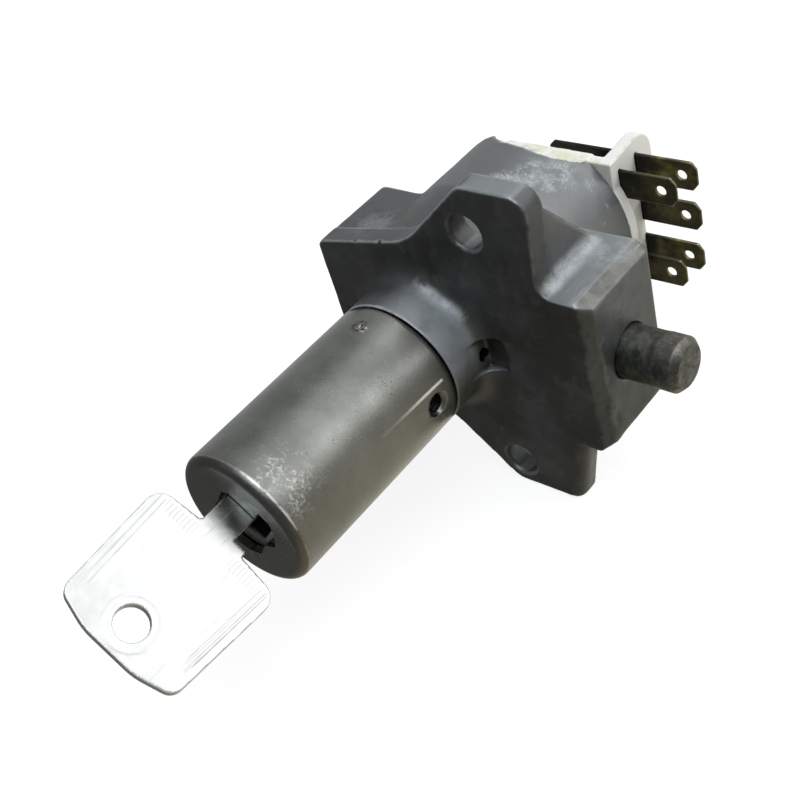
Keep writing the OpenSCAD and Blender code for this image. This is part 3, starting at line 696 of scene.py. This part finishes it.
def black_plastic():
    g = Graph("black_moulding", IOR=1.5)
    n1 = g.noise(300, 4)
    n2 = g.noise(2500, 3)
    g.set("Base Color", g.mix(g.span(n1, 0.35, 0.7), (0.018, 0.018, 0.018), (0.035, 0.035, 0.034)))
    g.set("Roughness", g.span(n2, 0.3, 0.7, 0.42, 0.6))
    g.bump(n2, 0.25, 0.00008)
    return g.m


ZINC, PLATED, KEYMET, BOLT, IVORY = zinc(), plated(), key_metal(), bolt_steel(), ivory()
GOLDEN, OLIVE = blade_brass("blade_golden", 0.9), blade_brass("blade_olive", 0.35)
# painted shade: the screw, pins, clip and barrel deep inside get a near-black steel
DEEP_SHADE_STEEL = plain_metal("dark_steel", (0.020, 0.020, 0.0195), (0.050, 0.050, 0.048), 0.46)
DENT = plain_metal("staked_steel", (0.140, 0.137, 0.125), (0.420, 0.415, 0.385), 0.4, scale=1300)
NICKEL = plug_metal()
LOCK_BRASS = plain_metal("lock_brass", (0.52, 0.38, 0.15), (0.66, 0.50, 0.24), 0.36)
SPRING = plain_metal("spring_wire", (0.42, 0.42, 0.40), (0.60, 0.60, 0.58), 0.3, scale=900)
CONTACT = plain_metal("contact_brass", (0.55, 0.40, 0.17), (0.70, 0.53, 0.26), 0.33)
SCREW = plain_metal("screw_plate", (0.262, 0.256, 0.225), (0.375, 0.369, 0.338), 0.34)
BLACK = black_plastic()

for names, mat in (
    # near-black painted shade for the parts deep inside
    ("sleeve_screw driver_pin plug_clip driver lock_barrel", DEEP_SHADE_STEEL),
    ("bolt_yoke", BOLT),
    ("lock_plug", NICKEL),
    ("wafers", LOCK_BRASS),
    ("wafer_springs contact_spring bolt_spring", SPRING),
    ("contact_bridge fixed_contacts", CONTACT),
    ("base_screws bore_plug", SCREW),
    ("sleeve_pin", DENT),
    ("switch_rotor", BLACK),
):
    for n in names.split():
        me = NODES[n].data
        me.materials.clear()
        me.materials.append(mat)


# ------------------------------------------------------------------ zinc casting
def casting():
    me = remeshed(cad_copy("housing"), 0.3)

    def weight(co):
        x, y, z = co.T
        r = np.hypot(x, z)
        w = np.ones(len(co))
        for s in (1, -1):
            d = np.hypot(x - 15.75, z - s * 27.25)
            w = np.where((d < 5.2) & (y < 6), 0.3, w)
        w = np.where(y > 39.9, 0.4, w)
        w = np.where(y < -8.9, 0.04, w)
        w = np.where((r < 17.7) & (y > 2.9) & (y < 39.9), 0.2, w)
        w = np.where((r > 13.2) & (r < 20.6) & (y > -4.5) & (y < 1.4), 0.4, w)
        w = np.where((np.hypot(y + 0.65, z) < 2.2) & (x > 10), 0.12, w)
        w = np.where((x > 36) & (np.hypot(y - 10.45, z) < 6.2), 0.2, w)
        return w

    smooth(me, 7, weight)
    co, no = points(me), normals(me)
    # uneven cast skin and a few nicks
    skin = 0.06 * vnoise(co / 5.2, 3) + 0.02 * vnoise(co / 1.9, 7)
    skin *= np.where((co[:, 1] < -8.5) | (np.hypot(co[:, 0], co[:, 2]) < 17.7), 0.0, 1.0)
    skin *= np.where(np.abs(co[:, 0] - 15.75) < 4.6, np.where(np.abs(np.abs(co[:, 2]) - 27.25) < 4.6, 0.4, 1.0), 1.0)
    # wavy outer corner of the flange
    wavy = step(35.2, 36.8, co[:, 0]) * step(4.6, 3.4, co[:, 1]) * step(15.0, 11.0, co[:, 2])
    skin += wavy * (0.26 * vnoise(co / 3.6, 21) + 0.09 * vnoise(co / 1.5, 22))
    co = co + no * skin[:, None]
    rng = np.random.default_rng(11)
    nicks = [(-12.7, 0.1, 19.7, 0.9, 0.22), (-6.0, 0.1, 20.4, 0.8, 0.2), (38.2, 2.2, 8.0, 0.8, 0.2), (37.9, 1.8, -6.5, 1.0, 0.22),
             (37.4, 9.0, 16.4, 0.8, 0.2), (30.4, 4.4, 30.0, 0.8, 0.2)]
    for k in range(26):
        i = rng.integers(len(co))
        nicks.append((*co[i], 0.5 + 0.5 * rng.random(), 0.06 + 0.08 * rng.random()))
    for x, y, z, r, d in nicks:
        q = np.linalg.norm(co - np.array([x, y, z]), axis=1)
        hit = q < r
        co[hit] -= no[hit] * (d * (1 - (q[hit] / r) ** 2) ** 1.5)[:, None]
    set_points(me, co)
    c = curvature(me, 5)
    dense, edge, valley = points(me), np.clip((c - 0.03) / 0.08, 0, 1), np.clip((-c - 0.03) / 0.10, 0, 1)
    me = thinned(me, 190000)
    carry(me, "edge", dense, edge)
    carry(me, "valley", dense, valley)
    return piece("casting", me, "casing", ["housing"], ZINC)


# ------------------------------------------------------------------ steel sleeve
SF, JOINT, R = -53.7, -9.9, 14.0


def sleeve():
    rd = 1.9
    prof = [(0, SF), (6, SF), (R - rd - 0.8, SF), (R - rd - 0.25, SF)]
    prof += [(R - rd + rd * math.sin(a), SF + rd - rd * math.cos(a)) for a in np.linspace(0, math.pi / 2, 25)]
    prof += [(R, y) for y in (-51.5, -50.4, -49, -44, -38, -32, -26, -21, -18.4, -17.4, -13.2, -12.2, -11.2)]
    prof += [(R, JOINT - 0.52), (R - 0.04, JOINT - 0.44), (R - 0.12, JOINT - 0.40), (12.6, JOINT - 0.38), (12.6, SF + 1.5), (0, SF + 1.5)]
    me = lathe(prof, 168, "y")
    glass = [(-4.2, 3.6), (-1.8, 7.0), (1.5, 7.9), (5.4, 7.6), (8.0, 6.6), (8.5, 1.6), (7.2, -2.6),
             (4.2, -3.6), (1.8, -7.0), (-1.5, -7.4), (-4.6, -6.0), (-5.9, -2.6), (-5.9, 0.6), (-5.4, 2.6)]
    cutters = [prism(glass, SF - 1, SF + 2.6)]
    hole = lathe([(0, 9), (1.8, 9), (1.8, R - 0.75), (2.75, R + 0.25), (2.75, 20), (0, 20)], 48, "x")
    hole.transform(Matrix.Translation((0, -15.3, 0)))
    pin = lathe([(0, 9), (1.0, 9), (1.0, 20), (0, 20)], 32, "x")
    pin.transform(Matrix.Translation((0, -15.3, 0)) @ Matrix.Rotation(-math.pi / 2, 4, "Y"))
    me = cut(me, *cutters, hole, pin)
    me = bevelled(me, 0.12, 2, 32)
    co = points(me)
    # mask for the painted highlight on the front rim, strongest between about 28 and 60 degrees from the top towards
    # +X
    turn = np.degrees(np.arctan2(co[:, 0], co[:, 2]))
    rim = np.exp(-((co[:, 1] - (SF + 1.45)) / 0.18) ** 2) * (np.hypot(co[:, 0], co[:, 2]) > 13.2)
    give(me, "edge", rim * (0.25 + 0.75 * step(12, 28, turn) * step(84, 60, turn)))
    return piece("sleeve", me, "casing", ["barrel_sleeve"], PLATED)


# ------------------------------------------------------------------ key
KA = math.radians(40.5)


def key():
    me = remeshed(cad_copy("key"), 0.155)
    smooth(me, 3)
    co, no = points(me), normals(me)
    w = co[:, 0] * math.cos(KA) - co[:, 2] * math.sin(KA)
    n = co[:, 0] * math.sin(KA) + co[:, 2] * math.cos(KA)
    y = co[:, 1]
    s, c = SF - 4.7, -0.5
    u, v = w - c, s - y
    flat = step(0.85, 0.98, np.abs(n) / 1.1)
    half = 13.8 - 1.3 * (v - 0.9) / 23.5
    d = half - np.abs(u)
    on = flat * step(1.2, 2.2, v) * step(25.0, 23.0, v)
    rim = np.exp(-((d - 1.75) / 0.24) ** 2) + 0.7 * np.exp(-((d - 2.75) / 0.2) ** 2)
    rim *= on * step(21.5, 17.5, v)
    hatch = 0.5 + 0.5 * np.cos(2 * math.pi * u / 0.8)
    hatch *= flat * step(1.0, 1.3, v) * step(3.6, 3.0, v) * step(2.6, 3.2, d) * step(3.4, 4.4, np.abs(u))
    ringd = np.hypot(w - (c - 0.5), y - (s - 20.6))
    ring = np.exp(-((ringd - 4.7) / 0.3) ** 2) * flat * 0.7
    field = flat * step(3.0, 4.6, d) * step(3.8, 5.4, v) * step(19.8, 17.8, v)
    h = 0.08 * rim + 0.03 * hatch + 0.05 * ring - 0.02 * field
    h += flat * 0.008 * vnoise(co / 1.6, 5)
    side = np.sign(n)[:, None] * np.array([math.sin(KA), 0, math.cos(KA)])
    co = co + side * h[:, None]
    set_points(me, co)
    cu = curvature(me, 3)
    give(me, "valley", np.clip((-cu - 0.004) / 0.02, 0, 1))
    give(me, "edge", np.clip((cu - 0.01) / 0.03, 0, 1))
    me = thinned(me, 190000)
    return piece("key_body", me, "key", ["key"], KEYMET)


# ------------------------------------------------------------------ locking bolt
def bolt():
    e, r, sx = 50.1, 5.2, 10.445
    thin = r - 0.13
    prof = [(0, 6.2), (2.45, 6.2), (2.6, 6.35), (2.6, sx), (r - 0.2, sx), (r, sx + 0.2)]
    prof += [(r, x) for x in np.linspace(14, e - 12.5, 12)] + [(thin, e - 12.2)]
    prof += [(thin, x) for x in np.linspace(e - 11.6, e - 6.2, 16)] + [(thin, e - 5.9), (thin + 0.03, e - 5.6), (r - 0.04, e - 5.1), (r, e - 4.8)]
    prof += [(r, x) for x in np.linspace(e - 4.4, e - 1.6, 12)]
    prof += [(r, e - 1.3), (r - 0.06, e - 1.15), (r - 0.6, e - 0.58), (r - 1.1, e - 0.08), (r - 1.24, e - 0.01), (3.6, e), (3.2, e), (2.6, e), (1.8, e), (1.0, e), (0.4, e), (0, e)]
    me = lathe(prof, 144, "x")
    me.transform(Matrix.Translation((0, 10.45, 0)))
    co, no = points(me), normals(me)
    out = step(37, 39, co[:, 0])
    co = co + no * (out * (0.02 * vnoise(co / 1.3, 4) - 0.07 * np.clip(vnoise(co / 0.9, 9) - 0.40, 0, 1)))[:, None]
    # a gouge across the end face
    a, b = np.array((50.1, 8.5, 1.8)), np.array((50.1, 11.8, -1.2))
    t = np.clip((co - a) @ (b - a) / ((b - a) @ (b - a)), 0, 1)
    co[:, 0] -= 0.12 * step(0.55, 0.1, np.linalg.norm(co - a - t[:, None] * (b - a), axis=1))
    set_points(me, co)
    x, rr = co[:, 0], np.hypot(co[:, 1] - 10.45, co[:, 2])
    # mask for the painted highlight along the end's chamfer, lower side only
    edge = np.exp(-((x - (e - 0.6)) / 0.6) ** 2) * (rr > 4.2) + np.exp(-((x - e) / 0.2) ** 2) * np.exp(-((rr - 3.95) / 0.25) ** 2)
    edge *= step(1.5, -2.5, co[:, 2])
    give(me, "edge", np.clip(edge, 0, 1))
    return piece("bolt_body", me, "bolt", ["locking_bolt"], BOLT)


# ------------------------------------------------------------------ ivory base
def base():
    me = remeshed(cad_copy("switch_base"), 0.22)
    smooth(me, 3)
    co, no = points(me), normals(me)
    lug = step(-9, -6, co[:, 0]) * step(15, 12, co[:, 0]) * step(15.2, 16.2, co[:, 2])
    co = co + no * (0.02 * vnoise(co / 3.0, 2) + lug * 0.06 * np.clip(vnoise(co / 0.9, 6), -0.4, 1))[:, None]
    set_points(me, co)
    cu = curvature(me, 4)
    dense, valley = points(me), np.clip((-cu - 0.012) / 0.05, 0, 1)
    me = thinned(me, 150000)
    carry(me, "valley", dense, valley)
    return piece("terminal_base", me, "casing", ["switch_base"], IVORY)


# ------------------------------------------------------------------ blades
def blade(k):
    me = remeshed(cad_copy(f"terminal_{k}"), 0.15)
    smooth(me, 3)
    co, no = points(me), normals(me)
    y0, x1 = co[:, 1].mean(), co[:, 0].max()
    tip = step(x1 - 1.8, x1, co[:, 0])
    co[:, 1] = y0 + (co[:, 1] - y0) * (1 - 0.35 * tip)
    co = co + no * (0.012 * vnoise(co / 1.4, 20 + k))[:, None]
    set_points(me, co)
    cu = curvature(me, 3)
    give(me, "edge", np.clip((cu - 0.02) / 0.04, 0, 1))
    return piece(f"blade_{k}", me, "casing", [f"terminal_{k}"], GOLDEN if k in (1, 4) else OLIVE)


# ------------------------------------------------------------------ return spring
def spring():
    me = cad_copy("bolt_spring")
    ob = piece("return_spring", me, "casing", ["bolt_spring"], SPRING)
    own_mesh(ob)
    return ob


casting()
sleeve()
key()
bolt()
base()
for i in range(1, 6):
    blade(i)
spring()

# ------------------------------------------------------------------ floor and light
bpy.ops.mesh.primitive_plane_add(size=6.0, location=(0, 0, -0.0333))
floor = bpy.context.object
floor.name = "floor"
fg = Graph("floor_paper", Roughness=0.9)
fg.set("Base Color", fg.mix(fg.span(fg.noise(30, 3), 0.3, 0.7), (0.225, 0.225, 0.225), (0.238, 0.238, 0.238)))
fg.b.inputs["Emission Color"].default_value = (1, 1, 1, 1)
fg.b.inputs["Emission Strength"].default_value = 0.86
floor.data.materials.append(fg.m)
floor.visible_diffuse = False
floor.visible_glossy = False

# a soft bright dome above and behind, a dim front, and a warm glow from below
world = bpy.data.worlds.new("studio")
world.use_nodes = True
wt = world.node_tree
way = wt.nodes.new("ShaderNodeTexCoord").outputs["Generated"]


def glow(direction, a, b, colour):
    dot = wt.nodes.new("ShaderNodeVectorMath")
    dot.operation = "DOT_PRODUCT"
    wt.links.new(way, dot.inputs[0])
    dot.inputs[1].default_value = Vector(direction).normalized()
    ramp = wt.nodes.new("ShaderNodeMapRange")
    ramp.interpolation_type = "SMOOTHSTEP"
    wt.links.new(dot.outputs["Value"], ramp.inputs["Value"])
    ramp.inputs["From Min"].default_value = a
    ramp.inputs["From Max"].default_value = b
    out = wt.nodes.new("ShaderNodeVectorMath")
    out.operation = "SCALE"
    out.inputs[0].default_value = colour
    wt.links.new(ramp.outputs["Result"], out.inputs["Scale"])
    return out.outputs["Vector"]


def plus(a, b):
    n = wt.nodes.new("ShaderNodeVectorMath")
    n.operation = "ADD"
    wt.links.new(a, n.inputs[0])
    if isinstance(b, tuple):
        n.inputs[1].default_value = b
    else:
        wt.links.new(b, n.inputs[1])
    return n.outputs["Vector"]


light = plus(glow((0.0, 1.0, 0.0), -0.05, 0.50, (0.465, 0.48, 0.48)), (0.160, 0.163, 0.160))
light = plus(light, glow((0.35, 0.47, 0.81), 0.72, 0.92, (0.96, 0.976, 0.99)))
light = plus(light, glow((0.68, 0.45, 0.58), 0.922, 0.958, (0.74, 0.74, 0.74)))
light = plus(light, glow((0.45, 0.35, -0.82), 0.10, 0.80, (0.256, 0.208, 0.112)))
light = plus(light, glow((0.27, -0.30, 0.91), 0.86, 0.97, (2.2, 2.35, 2.5)))
wt.links.new(light, wt.nodes["Background"].inputs["Color"])
scene.world = world


def area(name, at, to, size, power, colour=(1, 1, 1)):
    d = bpy.data.lights.new(name, "AREA")
    d.shape = "RECTANGLE"
    d.size, d.size_y = size
    d.energy = power
    d.color = colour
    o = bpy.data.objects.new(name, d)
    o.location = at
    o.rotation_euler = (Vector(to) - Vector(at)).to_track_quat("-Z", "Y").to_euler()
    scene.collection.objects.link(o)


area("key_light", (0.68, 0.45, 0.58), (0, 0, 0), (0.40, 0.30), 0.40, (1.0, 0.99, 0.97))
scene.view_settings.view_transform = "Standard"
scene.view_settings.look = "None"
